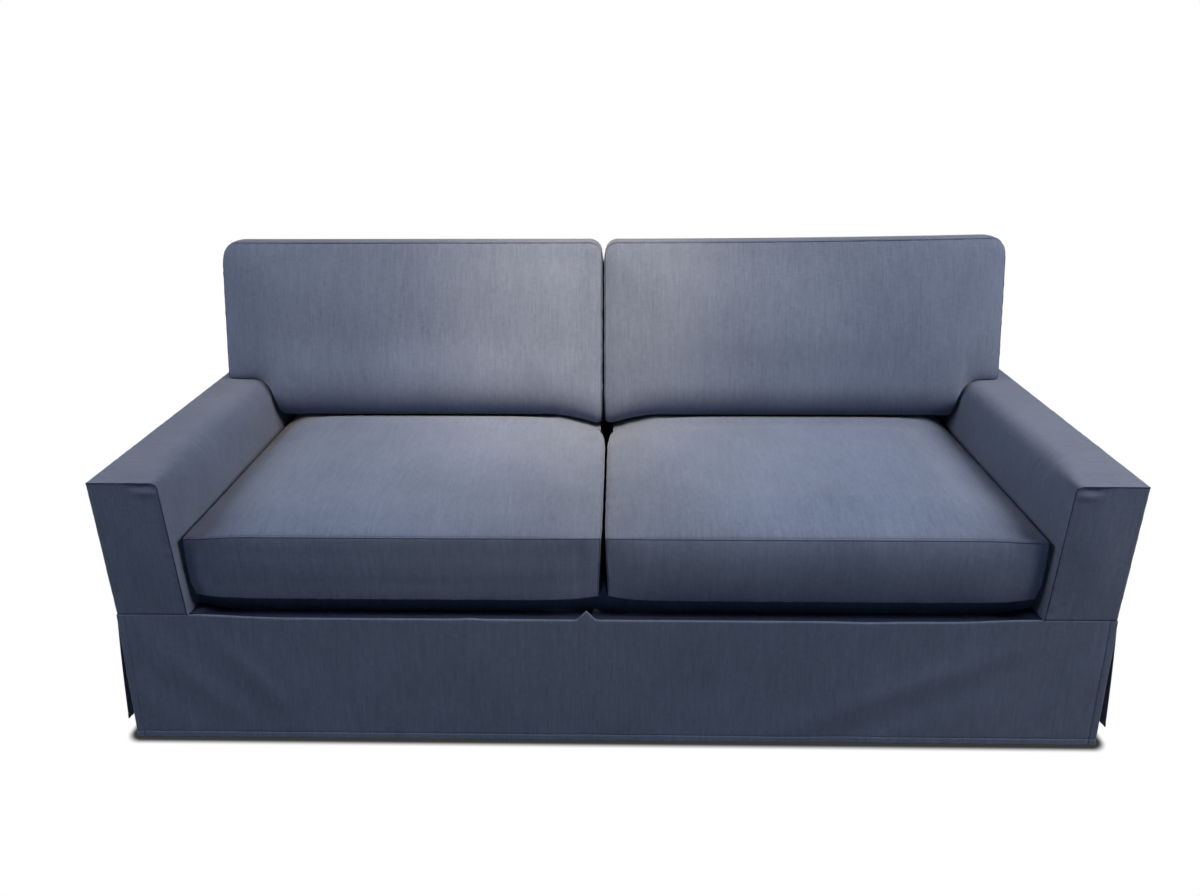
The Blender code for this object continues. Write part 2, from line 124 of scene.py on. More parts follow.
BACK_FULL_ACROSS = 4.0  # how full the crown stays towards the ends
BACK_FULL_UP = 3.2  # and towards the seams
BACK_ROLL = 0.100  # height over which the front rolls under at the foot
BACK_ROLL_DEPTH = 0.055
BACK_FOOT_ROUND = 0.020  # lower inner corner
BACK_FOOT_SAG = 0.030  # there the foot follows the seat cushion's falling end
BACK_SAG_REACH = 0.150
BACK_EDGE = 0.009  # the front's edge lies back
BACK_EDGE_POWER = 18  # close to the seams only
BACK_REAR_GAP = 0.002
BAND_CROWN = 0.010
BAND_SWELL = 0.005
BAND_END = 0.04  # share of the width that an end's shape takes
CUSHION_ROUND = 0.038  # top corner of a back cushion at its outer end
INNER_ROUND = 0.034  # and beside the split
EAR_STEP = 0.014
EAR_OUTER_X = {-1: 0.988, 1: 0.972}
EAR_RISE = {-1: 0.000, 1: 0.010}

DECK_TURN = 0.010  # the deck's front edge turns down behind the skirt
DECK_SHELF = 0.052  # level strip in front of the cushions
DECK_SHELF_DROP = 0.024  # it starts this far below the rest of the deck
DECK_SINK = 0.012  # and sinks further behind the skirt's top edge
DECK_SINK_DEPTH = 0.008
DECK_FRONT_LOW = 0.004  # the deck's cloth starts this far below the skirt's top edge
DECK_RISE = 0.070
DECK_END_LIFT = 0.45  # share of that drop that the seams at the arms take back
DECK_END_REACH = 0.050
DECK_CREASE_START = 0.006  # creases at its ends grow over this depth
DECK_CREASE_FADE = 0.03  # and fade over this one
DECK_TUCK = 0.003  # its ends are sewn into the arms' cloth
DECK_FOOT = 0.020  # they follow the arms down to this far below the skirt's top
SKIRT_FLARE = 0.010
SIDE_FLARE_FRONT = 0.060
SIDE_FLARE_REAR = 0.022
SIDE_FLARE_POWER = 1.6  # it falls off fast behind the front
SPLIT_CURL = 0.044
SPLIT_CURL_POWER = 1.2  # the front edge bends back more towards the hem
REAR_CURL = 0.014
DRAPE_START = 0.30  # share of a skirt's height over which its folds grow
LIP_SAG = 0.007
LIP_ROLL = 0.0015  # the lip's edge rolls back by this much
LIP_ROLL_REACH = 0.004
LIP_POINT = dict(x=-0.052, width=0.019, height=0.022)  # where the cloth stands up in a point

HANG_POINT = np.array((0.0, 0.918, BACK_TOP - CLOTH))
SIDES = ((-1, "left"), (1, "right"))

# ---------------- sizes of the sewing
SEAM_DIP = 0.0014  # how far a sewn edge is drawn in
SEAM_REACH = 0.0042  # over how much of the cloth
SEAM_PLACES = np.array((0.0, 0.0008, 0.0018, 0.0028, 0.0038, 0.0052))
SEAM_LINE = 0.0028  # a cushion's stitching runs this far from its edge
SEAM_GROOVE = 0.0018
SEAM_LINE_WIDTH = 0.0009
SEAM_SHADE = 0.0024  # a cushion's cloth this near its front seam gets painted shade
SPLIT_SHADE = 0.003  # so do the faces between two cushions, from this far behind the front
SPLIT_SHADE_TOP = 0.014  # and this far below the top
HEM_BAND = 0.015  # stitching above a hem's edge
HEM_PLACES = np.array((0.0, 0.0012, HEM_BAND - 0.0030, HEM_BAND - 0.0014, HEM_BAND - 0.0005,
                       HEM_BAND + 0.0005, HEM_BAND + 0.0014, HEM_BAND + 0.0030))
HEM_LIFT = 0.0006  # the turned-up double cloth stands proud
HEM_TURN = 0.0020
HEM_DENT = 0.0007  # pull of its stitching
HEM_DENT_WIDTH = 0.0011
PUCKER_PITCH = 0.013
PUCKER_REACH = 0.016
PUCKER_START = 0.002
FULL_PUCKER = 0.0006  # heights of puckers
SOFT_PUCKER = 0.0005
LIGHT_PUCKER = 0.0004
CUSHION_PUCKER = 0.0007
Edge = namedtuple("Edge", "inset places dip dark")
EDGES = {  # how far in an edge starts, its close places, its dip and how wide a strip along it gets painted shade
    "corner": Edge(SEAM_DIP, SEAM_PLACES, SEAM_DIP, 0.0),
    "flush": Edge(-GAP / 2, SEAM_PLACES, SEAM_DIP, 0.0010),
    "tucked": Edge(0.0004, SEAM_PLACES, SEAM_DIP, 0.0030),
    "over": Edge(-0.0006, SEAM_PLACES, 0.0006, 0.0002),
    "hem": Edge(0.0, HEM_PLACES, 0.0, 0.0),
    "plain": Edge(0.0, np.array((0.0,)), 0.0, 0.0),
}
EDGE_NAMES = ("left", "right", "foot", "head")
ALL_CORNER = ("corner",) * 4  # a panel's four edges, in that order
ON_SKIRT = ("corner", "corner", "flush", "corner")
HEMMED = ("hem", "hem", "hem", "flush")

# ---------------- folds
# soft ridges (height > 0) and troughs, as seen from outside; rise is their slope in degrees
Fold = namedtuple("Fold", "x z rise length width height")
FRONT_FOLDS = [
    Fold(-0.748, 0.168, -55, 0.095, 0.022, 0.0028),
    Fold(-0.800, 0.150, -52, 0.085, 0.024, -0.0020),
    Fold(-0.858, 0.140, -50, 0.090, 0.024, 0.0024),
    Fold(-0.915, 0.110, -55, 0.070, 0.024, -0.0016),
    Fold(-0.980, 0.107, -69, 0.080, 0.022, 0.0024),
    Fold(0.585, 0.140, 24, 0.230, 0.028, 0.0028),
    Fold(0.610, 0.085, 26, 0.200, 0.028, -0.0024),
    Fold(0.955, 0.165, 58, 0.110, 0.024, 0.0024),
    Fold(0.900, 0.165, 60, 0.090, 0.026, -0.0016),
    Fold(-0.280, 0.200, 86, 0.090, 0.035, 0.0012),
    Fold(0.120, 0.150, 80, 0.110, 0.045, -0.0012),
]
FRONT_DRAPE = 1.25  # the finer cloth takes the front's folds up more sharply
SIDE_FOLDS = [
    Fold(0.200, 0.100, 80, 0.120, 0.050, -0.007),
    Fold(0.420, 0.110, 94, 0.130, 0.050, 0.006),
    Fold(0.700, 0.090, 84, 0.120, 0.055, -0.005),
]
BACK_FOLDS = [
    Fold(-0.600, 0.120, 97, 0.120, 0.060, 0.006),
    Fold(-0.150, 0.100, 85, 0.110, 0.070, -0.005),
    Fold(0.450, 0.110, 92, 0.120, 0.060, 0.006),
]
ARM_FOLDS = [
    Fold(0.300, 0.450, 35, 0.180, 0.045, 0.003),
    Fold(0.620, 0.430, -30, 0.180, 0.050, -0.003),
]
DECK_CREASES = [  # x from the arm, z back from the lip: each lies across the end of the shelf
    Fold(0.014, 0.018, 55, 0.026, 0.006, 0.007),
    Fold(0.032, 0.016, 40, 0.024, 0.008, -0.004),
    Fold(0.052, 0.014, -35, 0.022, 0.007, 0.004),
]
FRONT_PINCH = [  # x from the inner edge and z down from the top of an arm's front panel
    Fold(0.034, 0.009, 0, 0.026, 0.006, -0.0032),
    Fold(0.030, 0.022, 0, 0.022, 0.008, 0.0022),
]
COVER_PINCH = [  # x down over an arm's rounded edge and z back from its front
    Fold(0.000, 0.009, 0, 0.007, 0.006, 0.0022),
    Fold(0.016, 0.010, 0, 0.007, 0.010, -0.0016),
]
LIP_PEAKS = [  # where the front skirt's top edge runs unevenly
    dict(x=-0.290, width=0.020, height=0.002),
    dict(x=0.520, width=0.050, height=-0.002),
]


# ---------------- small helpers
def add_object(name, data):
    made = bpy.data.objects.new(name, data)
    bpy.context.scene.collection.objects.link(made)
    return made


def mix(start, end, share):
    return start + (end - start) * share


def ease(value):
    """0 up to 0, 1 from 1 on, with soft ends."""
    value = np.clip(value, 0.0, 1.0)
    return value * value * (3 - 2 * value)


def held(share, margin=0.12):
    """0 at both ends of a span, 1 inside: keeps folds away from sewn edges."""
    return ease(share / margin) * ease((1 - share) / margin)


def folds(rows, x, z):
    total = 0.0
    for row in rows:
        turn = math.radians(row.rise)
        along = (x - row.x) * math.cos(turn) + (z - row.z) * math.sin(turn)
        across = -(x - row.x) * math.sin(turn) + (z - row.z) * math.cos(turn)
        total = total + row.height * np.exp(-(along / row.length) ** 2 - (across / row.width) ** 2)
    return total


def wander(place, pitch, seed):
    """Uneven smooth wave between -1 and 1 along a line, with a turn about every pitch."""
    table = np.random.default_rng(seed).uniform(-1, 1, 1024)
    spot = np.asarray(place) / pitch + len(table) // 2
    cell = np.floor(spot).astype(int)
    return mix(table[cell], table[cell + 1], ease(spot - cell))


def rounding(distance, reach, dip):
    """How far a surface curves in at a distance from its edge: dip at the edge, 0 beyond its reach."""
    share = np.clip(1 - distance / reach, 0, 1)
    return dip * (1 - np.sqrt(1 - share ** 2))


def arm_inner_x(z):
    share = (z - SKIRT_TOP) / (ARM_TOP - SKIRT_TOP)
    return HALF - mix(ARM_WIDTH_FOOT, ARM_WIDTH_TOP, share)


def inside_back_y(z):
    return BACK_FOOT_Y + (z - SEAT_REST) * BACK_LEAN


def arm_top_drop(x):
    """How far an arm's top has curved down at a place across it, behind its front end."""
    from_inner = np.abs(x) - arm_inner_x(ARM_TOP - ARM_ROUND_BEHIND)
    return rounding(from_inner, ARM_ROUND_BEHIND, ARM_ROUND_BEHIND)


def lip_height(x):
    """Top edge of the front skirt: level under the arms, sagging between them."""
    inside = arm_inner_x(SKIRT_TOP) - np.abs(x)
    drop = LIP_SAG * ease(inside / 0.20)
    for peak in LIP_PEAKS:
        drop = drop - peak["height"] * np.exp(-((x - peak["x"]) / peak["width"]) ** 2)
    point = LIP_POINT["height"] * np.clip(1 - np.abs(x - LIP_POINT["x"]) / LIP_POINT["width"], 0, 1)
    return SKIRT_TOP - GAP - np.where(inside > 0, np.maximum(0.0, drop), 0.0) + point


# ---------------- cloth
THREAD = 0.0011  # width of a thread
STREAKS = {  # uneven threads and patches, in metres across and along the warp
    "fine": dict(across=0.0018, along=0.020, detail=2.0, start=1.7, weight=0.55),
    "broad": dict(across=0.0050, along=0.080, detail=3.0, start=5.3, weight=0.40),
    "weft": dict(across=0.025, along=0.0022, detail=2.0, start=9.1, weight=0.40),
    "patch": dict(across=0.160, along=0.200, detail=2.0, start=3.9, weight=0.35),
}
WEAVE_WEIGHT = 0.35  # contrast of the crossings
PALE_THREAD = (0.135, 0.170, 0.275)
DARK_THREAD = (0.045, 0.060, 0.108)
SHEEN = 0.25


def fabric(name, pale, dark, sheen):
    """Slubbed plain weave: pale and dark threads, uneven streaks along the warp, soft sheen."""
    made = bpy.data.materials.new(name)
    made.use_nodes = True
    tree = made.node_tree
    shader = tree.nodes["Principled BSDF"]
    link = tree.links.new

    def node(kind, **settings):
        new = tree.nodes.new(kind)
        for key, value in settings.items():
            setattr(new, key, value)
        return new

    def feed(socket, value):
        if isinstance(value, (int, float)):
            socket.default_value = value
        else:
            link(value, socket)

    def calc(operation, first, second=0.0):
        new = node("ShaderNodeMath", operation=operation)
        feed(new.inputs[0], first)
        feed(new.inputs[1], second)
        return new.outputs[0]

    weave = node("ShaderNodeUVMap", uv_map="weave")
    split = node("ShaderNodeSeparateXYZ")
    link(weave.outputs[0], split.inputs[0])
    across, along = split.outputs[0], split.outputs[1]

    def streaks(row):
        place = node("ShaderNodeCombineXYZ")
        feed(place.inputs[0], calc("DIVIDE", across, row["across"]))
        feed(place.inputs[1], calc("DIVIDE", along, row["along"]))
        place.inputs[2].default_value = row["start"]
        noise = node("ShaderNodeTexNoise", noise_dimensions="3D")
        noise.inputs["Scale"].default_value = 1.0
        noise.inputs["Detail"].default_value = row["detail"]
        noise.inputs["Roughness"].default_value = 0.6
        link(place.outputs[0], noise.inputs["Vector"])
        return noise.outputs["Fac"]

    # one plain weave: a thread on top in every second crossing
    wave_across = calc("SINE", calc("MULTIPLY", across, math.pi / THREAD))
    wave_along = calc("SINE", calc("MULTIPLY", along, math.pi / THREAD))
    warp_up = calc("GREATER_THAN", calc("MULTIPLY", wave_across, wave_along), 0.0)
    warp_round = calc("ABSOLUTE", wave_across)
    weft_round = calc("ABSOLUTE", wave_along)
    over = calc("ADD", calc("MULTIPLY", warp_up, warp_round),
                calc("MULTIPLY", calc("SUBTRACT", 1.0, warp_up), weft_round))

    uneven = {key: streaks(row) for key, row in STREAKS.items()}
    weighted = [(uneven[key], row["weight"]) for key, row in STREAKS.items()] + [(warp_up, WEAVE_WEIGHT)]
    tone = 0.5
    for part, weight in weighted:
        tone = calc("ADD", calc("MULTIPLY", calc("SUBTRACT", part, 0.5), weight), tone)

    ramp = node("ShaderNodeValToRGB")
    ramp.color_ramp.elements[0].color = (*dark, 1)
    ramp.color_ramp.elements[1].color = (*pale, 1)
    link(tone, ramp.inputs[0])
    link(ramp.outputs[0], shader.inputs["Base Color"])

    relief = calc("ADD", calc("MULTIPLY", over, 0.5), calc("MULTIPLY", uneven["fine"], 0.9))
    relief = calc("ADD", relief, calc("MULTIPLY", uneven["weft"], 0.5))
    surface = node("ShaderNodeBump")
    surface.inputs["Strength"].default_value = 0.35
    surface.inputs["Distance"].default_value = 0.0006
    link(relief, surface.inputs["Height"])
    link(surface.outputs[0], shader.inputs["Normal"])

    shader.inputs["Roughness"].default_value = 0.88
    shader.inputs["Specular IOR Level"].default_value = 0.25
    shader.inputs["Sheen Weight"].default_value = sheen
    shader.inputs["Sheen Roughness"].default_value = 0.38
    shader.inputs["Sheen Tint"].default_value = (0.90, 0.88, 0.87, 1)
    return made


COVER = fabric("cover_linen", PALE_THREAD, DARK_THREAD, SHEEN)
CUSHION = fabric("cushion_linen", PALE_THREAD, DARK_THREAD, SHEEN)
# darker copy of the linen without sheen: painted shade for seams, splits, cushion undersides and the deck's
# front strip
PAINTED_SHADE_CLOTH = fabric("linen_painted_shade", (0.034, 0.047, 0.120), (0.009, 0.013, 0.043), 0.0)


# ---------------- panels of cloth
def spaced(length, step, start, end):
    """Places across a panel, from one edge to the other: close together at a seam or hem."""
    first = EDGES[start].inset + EDGES[start].places
    last = length - EDGES[end].inset - EDGES[end].places[::-1]
    cells = max(1, round((last[0] - first[-1]) / step))
    between = np.linspace(first[-1], last[0], cells + 1)[1:-1]
    return np.concatenate((first, between, last))


def drawn_in(distance, kind):
    """How far cloth at a distance from an edge is drawn in by its seam."""
    return rounding(distance - EDGES[kind].inset, SEAM_REACH, EDGES[kind].dip)


def hem_relief(distance):
    band = HEM_LIFT * ease((HEM_BAND - distance) / HEM_TURN)
    return band - HEM_DENT * np.exp(-((distance - HEM_BAND) / HEM_DENT_WIDTH) ** 2)


def pucker(distance, along, seed, height):
    """Short creases that run away from a seam."""
    wave = wander(along, PUCKER_PITCH, seed) + 0.6 * wander(along, PUCKER_PITCH * 0.45, seed + 1)
    return height * wave * np.exp(-distance / PUCKER_REACH) * ease(distance / PUCKER_START)


def surface_normals(points):
    across = np.gradient(points, axis=1)
    upward = np.gradient(points, axis=0)
    normal = np.cross(across, upward)
    return normal / np.maximum(np.linalg.norm(normal, axis=2, keepdims=True), 1e-12)


def weave_shift(name):
    """Each piece is cut from another place of the cloth."""
    return np.random.default_rng(sum(map(ord, name))).uniform(0, 3, 2)


def make_mesh(name, points, quads, weave):
    """A mesh in the frame of the solids, with a map of the weave in metres of flat cloth."""
    mesh = bpy.data.meshes.new(name)
    mesh.from_pydata((points - HANG_POINT).tolist(), [], quads.tolist())
    layer = mesh.uv_layers.new(name="weave")
    layer.data.foreach_set("uv", weave.astype(np.float32).ravel())
    mesh.shade_smooth()
    return add_object(name, mesh)


def paint(piece, material, dark):
    """The piece's own cloth, and a darker cloth of painted shade on the faces that lie deep in a seam or
    split, under a cushion or on the deck's front strip.
    """
    piece.data.materials.append(material)
    piece.data.materials.append(PAINTED_SHADE_CLOTH)
    piece.data.polygons.foreach_set("material_index", dark.astype(np.int32))


def grid_quads(rows, columns, wanted):
    corner = np.arange(rows * columns).reshape(rows, columns)
    quads = np.stack((corner[:-1, :-1], corner[:-1, 1:], corner[1:, 1:], corner[1:, :-1]), axis=2)
    return quads.reshape(-1, 4) if wanted is None else quads[wanted]


def panel(node, size, step, edges, surface, outward, relief=None, puckers=(), cross_grain=False,
          keep=None, flat_normal=None, sewn=None, shaded=None):
    """A sewn panel of thin cloth.

    surface(u, v) gives its place and relief(u, v) its finer height, in metres of flat cloth.  edges
    names its left, right, foot and head edge, and puckers has (edge, seed, height).  keep(u, v)
    tells which cloth is there, sewn(u, v) where edges are seams, shaded(u, v) where else it gets
    painted shade.
    """
    name = "cloth_" + node
    left, right, foot, head = edges
    u, v = np.meshgrid(spaced(size[0], step, left, right), spaced(size[1], step, foot, head))
    points = np.stack(surface(u, v), axis=2)
    normals = surface_normals(points)
    if flat_normal is not None:
        normals[:] = flat_normal
    if (normals.mean(axis=(0, 1)) * outward).sum() < 0:
        normals = -normals
    distances = (u, size[0] - u, v, size[1] - v)
    rise = -np.max([drawn_in(d, kind) for d, kind in zip(distances, edges)], axis=0)
    for distance, kind in zip(distances, edges):
        if kind == "hem":
            rise = rise + hem_relief(distance)
    for edge, seed, height in puckers:
        number = EDGE_NAMES.index(edge)
        rise = rise + pucker(distances[number], v if number < 2 else u, seed, height)
    if relief is not None:
        rise = rise + relief(u, v)
    points = points + normals * rise[..., None]

    wanted = None
    if keep is not None:
        wanted = keep((u[:-1, :-1] + u[1:, 1:]) / 2, (v[:-1, :-1] + v[1:, 1:]) / 2)
    quads = grid_quads(*u.shape, wanted)
    middle_u, middle_v = u.ravel()[quads].mean(axis=1), v.ravel()[quads].mean(axis=1)
    to_edges = (middle_u, size[0] - middle_u, middle_v, size[1] - middle_v)
    # faces that get the darker cloth of painted shade: strips along seams, and where shaded(u, v) says
    dark = np.any([d < EDGES[kind].dark for d, kind in zip(to_edges, edges)], axis=0)
    if sewn is not None:
        dark = dark & sewn(middle_u, middle_v)
    if shaded is not None:
        dark = dark | shaded(middle_u, middle_v)

    flat = points.reshape(-1, 3)
    corners = flat[quads]
    facing = np.cross(corners[:, 1] - corners[:, 0], corners[:, 3] - corners[:, 0]).sum(axis=0)
    if (facing * outward).sum() < 0:
        quads = quads[:, ::-1]
    weave = np.stack((v.ravel(), u.ravel()) if cross_grain else (u.ravel(), v.ravel()), axis=1)
    weave = weave + weave_shift(name)
    used, quads_used = np.unique(quads, return_inverse=True)
    piece = make_mesh(name, flat[used], quads_used.reshape(quads.shape), weave[quads.ravel()])
    paint(piece, COVER, dark)
    cloth = piece.modifiers.new("cloth", "SOLIDIFY")
    cloth.thickness = CLOTH
    cloth.offset = -1
    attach(piece, "root")
    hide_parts(node)
    return piece


# ---------------- arms
ARM_LEVEL = HALF - arm_inner_x(ARM_TOP - ARM_ROUND) - ARM_ROUND  # flat part of an arm's top
ARM_GIRTH = ARM_LEVEL + ARM_ROUND * math.pi / 2 + ARM_TOP - ARM_ROUND - SKIRT_TOP + ARM_COVER_TUCK


def arm_section(distance, radius=ARM_ROUND):
    """(x, z) along the arm cover: from the outer top edge, over the round, down the seat side."""
    inner = arm_inner_x(ARM_TOP - radius)
    level = HALF - (inner + radius)
    turn = np.clip((distance - level) / radius, 0, math.pi / 2)
    down = np.maximum(distance - level - radius * math.pi / 2, 0)
    x = HALF - np.minimum(distance, level) - radius * np.sin(turn)
    z = ARM_TOP - radius * (1 - np.cos(turn)) - down
    slant = arm_inner_x(z) - inner
    return x + np.where(down > 0, slant, 0), z


def arm_front(side, label):
    eighth = ARM_ROUND * math.pi / 4  # half of the rounded edge
    straight = ARM_HEIGHT - ARM_ROUND
    corner_x, corner_z = arm_section(ARM_LEVEL + eighth)

    def surface(u, v):
        p, q = u / ARM_WIDTH_FOOT, v / ARM_HEIGHT
        top_x, top_z = arm_section(p * (ARM_LEVEL + eighth))
        inner_x, inner_z = arm_section(ARM_LEVEL + 2 * eighth + straight - q * (straight + eighth))
        foot_x = mix(HALF, arm_inner_x(SKIRT_TOP), p)
        outer_z = mix(SKIRT_TOP, ARM_TOP, q)
        # a patch between its four edges: both pairs of edges, less the corners that count twice
        x = mix(foot_x, top_x, q) + mix(HALF, inner_x, p) \
            - mix(HALF, mix(arm_inner_x(SKIRT_TOP), corner_x, q), p)
        z = mix(SKIRT_TOP, top_z, q) + mix(outer_z, inner_z, p) \
            - mix(SKIRT_TOP, mix(ARM_TOP, corner_z, p), q)
        y = -ARM_FRONT_SWELL * held(p, 0.5) * held(q, 0.5)
        return side * x, y, z

    def relief(u, v):
        return folds(FRONT_PINCH, ARM_WIDTH_FOOT - u, ARM_HEIGHT - v)

    piece = panel("arm_front_" + label, (ARM_WIDTH_FOOT, ARM_HEIGHT), 0.004,
                  ("corner", "tucked", "flush", "tucked"), surface, (0, -1, 0), relief=relief,
                  puckers=[("right", 11 + side, FULL_PUCKER), ("head", 21 + side, SOFT_PUCKER)],
                  flat_normal=(0.0, -1.0, 0.0))


def arm_cover(side, label):
    def surface(u, v):
        x, z = arm_section(u, mix(ARM_ROUND, ARM_ROUND_BEHIND, ease(v / ARM_SOFT_Y)))
        z = np.maximum(z, SKIRT_TOP - ARM_COVER_LOW)
        rear = inside_back_y(z - CLOTH) - GAP
        y = rear * v / ARM_COVER_LENGTH
        full = ease(v / ARM_SWELL_START) * ease((ARM_SWELL_END - v) / ARM_SWELL_FADE)
        fill = ARM_SWELL * held(u / ARM_GIRTH, 0.45) * full
        return side * (x - 0.5 * fill), y, z + fill

    def relief(u, v):
        return folds(COVER_PINCH, u - ARM_LEVEL - 0.7 * ARM_ROUND, v)

    piece = panel("arm_cover_" + label, (ARM_GIRTH, ARM_COVER_LENGTH), 0.008,
                  ("corner", "plain", "over", "plain"), surface, (-side, 0, 0.5), relief=relief,
                  puckers=[("foot", 31 + side, FULL_PUCKER), ("left", 41 + side, LIGHT_PUCKER)],
                  cross_grain=True)


def arm_outside(side, label):
    def surface(u, v):
        fold = held(u / DEPTH) * held(v / ARM_HEIGHT, 0.3) * folds(ARM_FOLDS, u, v + SKIRT_TOP)
        return side * (HALF + fold), u, v + SKIRT_TOP

    piece = panel("arm_outside_" + label, (DEPTH, ARM_HEIGHT), 0.012, ON_SKIRT, surface, (side, 0, 0),
                  puckers=[("head", 51 + side, SOFT_PUCKER), ("left", 61 + side, SOFT_PUCKER)])


# ---------------- back
def inside_back():
    foot = DECK_TOP - CLOTH
    height = BACK_TOP - foot
    wing = arm_inner_x(ARM_TOP) + CLOTH

    def surface(u, v):
        z = foot + v
        return u - HALF, inside_back_y(z), z

    def keep(u, v):
        """Between the arms, and over them from side to side."""
        return (np.abs(u - HALF) < wing - 0.010) | (v + foot > ARM_TOP + CLEAR)

    piece = panel("inside_back", (2 * HALF, height), 0.020,
                  ("corner", "corner", "plain", "corner"), surface, (0, -1, 0), keep=keep)


def back_end(side, label):
    height = BACK_TOP - ARM_TOP
    width = DEPTH - inside_back_y(BACK_TOP)

    def surface(u, v):
        z = ARM_TOP + v
        return np.full_like(u, side * HALF), mix(inside_back_y(z), DEPTH, u / width), z

    piece = panel("back_end_" + label, (width, height), 0.010, ON_SKIRT, surface, (side, 0, 0))


def back_top():
    front = inside_back_y(BACK_TOP)
    width = DEPTH - front

    def surface(u, v):
        rise = BAND_RISE * held(u / (2 * HALF)) * held(v / width, 0.5)
        return u - HALF, front + v, BACK_TOP + rise

    piece = panel("back_top", (2 * HALF, width), 0.012, ALL_CORNER, surface, (0, 0, 1),
                  puckers=[("foot", 71, SOFT_PUCKER), ("head", 72, SOFT_PUCKER)])


def back_outside():
    height = BACK_TOP - SKIRT_TOP

    def surface(u, v):
        x, z = u - HALF, v + SKIRT_TOP
        wave = BACK_WAVE * held(u / (2 * HALF), 0.4) * held(v / height, 0.4) * np.sin(7 * x + 5 * z)
        return x, DEPTH + wave, z

    piece = panel("back_outside", (2 * HALF, height), 0.014, ON_SKIRT, surface, (0, 1, 0),
                  puckers=[("head", 81, SOFT_PUCKER), ("foot", 82, SOFT_PUCKER)])


# ---------------- deck and skirt
def deck():
    front_y = CLOTH + GAP
    depth = inside_back_y(DECK_TOP) - GAP - front_y

    def from_arm(u):
        return (1 - np.abs(u / HALF - 1)) * arm_inner_x(DECK_TOP)

    def surface(u, v):
        y = front_y + np.maximum(v - DECK_TURN, 0)
        below = np.maximum(DECK_TURN - v, 0)
        held_up = 1 - DECK_END_LIFT * np.exp(-(from_arm(u) / DECK_END_REACH) ** 2)
        sink = mix(DECK_FRONT_LOW, DECK_SINK, ease((y - CLOTH) / DECK_SINK_DEPTH))
        sunk = (DECK_SHELF_DROP + sink) * held_up
        z = DECK_TOP - sunk * (1 - ease((y - DECK_SHELF) / DECK_RISE)) - below
        reach = arm_inner_x(np.maximum(z, SKIRT_TOP - DECK_FOOT)) + DECK_TUCK
        return (u / HALF - 1) * reach, y, z

    def relief(u, v):
        y = v - DECK_TURN
        crease = folds(DECK_CREASES, from_arm(u), y)
        fading = ease((DECK_SHELF + DECK_RISE - y) / DECK_CREASE_FADE)
        return crease * ease(y / DECK_CREASE_START) * fading

    # painted shade: the deck's front strip, under the seat cushions' front, gets the darker cloth
    def shaded(u, v):
        return v < DECK_TURN + DECK_SHELF

    piece = panel("deck", (2 * HALF, DECK_TURN + depth), 0.009,
                  ("plain",) * 4, surface, (0, -0.2, 1), relief=relief, shaded=shaded)


def skirt_front():
    lip_end = arm_inner_x(SKIRT_TOP)

    def surface(u, v):
        fall = 1 - v / SKIRT_HEIGHT
        x = (u / HALF - 1) * (HALF + SKIRT_FLARE * fall)
        z = mix(HEM, lip_height(x), v / SKIRT_HEIGHT)
        drape = FRONT_DRAPE * ease(fall / DRAPE_START) * folds(FRONT_FOLDS, x, z)
        return x, -SKIRT_FLARE * fall - drape, z

    def relief(u, v):
        inside = ease((lip_end - np.abs(u - HALF)) / 0.02)
        return -inside * rounding(SKIRT_HEIGHT - v, LIP_ROLL_REACH, LIP_ROLL)

    def sewn(u, v):
        """Its top is sewn to the arms' fronts, and free between them."""
        return np.abs(u - HALF) > lip_end

    piece = panel("skirt_front", (2 * HALF, SKIRT_HEIGHT), 0.008, HEMMED, surface, (0, -1, 0),
                  relief=relief, puckers=[("head", 91, SOFT_PUCKER)], sewn=sewn)


def skirt_side(side, label):
    def surface(u, v):
        fall = 1 - v / SKIRT_HEIGHT
        share = u / DEPTH
        front = CLOTH + CLEAR + SPLIT_CURL * np.maximum(fall, 0) ** SPLIT_CURL_POWER
        rear = DEPTH - CLOTH - CLEAR - REAR_CURL * fall
        y = mix(front, rear, share)
        z = mix(HEM, SKIRT_TOP - GAP, v / SKIRT_HEIGHT)
        flare = mix(SIDE_FLARE_REAR, SIDE_FLARE_FRONT, (1 - share) ** SIDE_FLARE_POWER) * fall
        drape = ease(fall / DRAPE_START) * folds(SIDE_FOLDS, y, z)
        return side * (HALF + flare + drape), y, z

    piece = panel("skirt_side_" + label, (DEPTH, SKIRT_HEIGHT), 0.010, HEMMED, surface, (side, 0, 0),
                  puckers=[("head", 101 + side, SOFT_PUCKER)])


def skirt_back():
    def surface(u, v):
        fall = 1 - v / SKIRT_HEIGHT
        x, z = u - HALF, mix(HEM, SKIRT_TOP - GAP, v / SKIRT_HEIGHT)
        drape = ease(fall / DRAPE_START) * folds(BACK_FOLDS, x, z)
        return x, DEPTH + SKIRT_FLARE * fall + drape, z

    piece = panel("skirt_back", (2 * HALF, SKIRT_HEIGHT), 0.012, HEMMED, surface, (0, 1, 0),
                  puckers=[("head", 111, SOFT_PUCKER)])


# ---------------- cushions
FACES = ((1, 0), (1, -1), (0, 0), (0, -1), (2, 0), (2, -1))  # axis and end of a box's six faces
TINY = 1e-9
CUSHION_STEP = 0.007
COARSE_STEP = 0.022  # of the form that swells
CROWN_SHARE = 0.9  # of the solids' crown, because the swelling adds to it
SEAT_SWELLING = 0.006  # and this much at most
BACK_SWELLING = 0.008
SWELL_FRAMES = 20


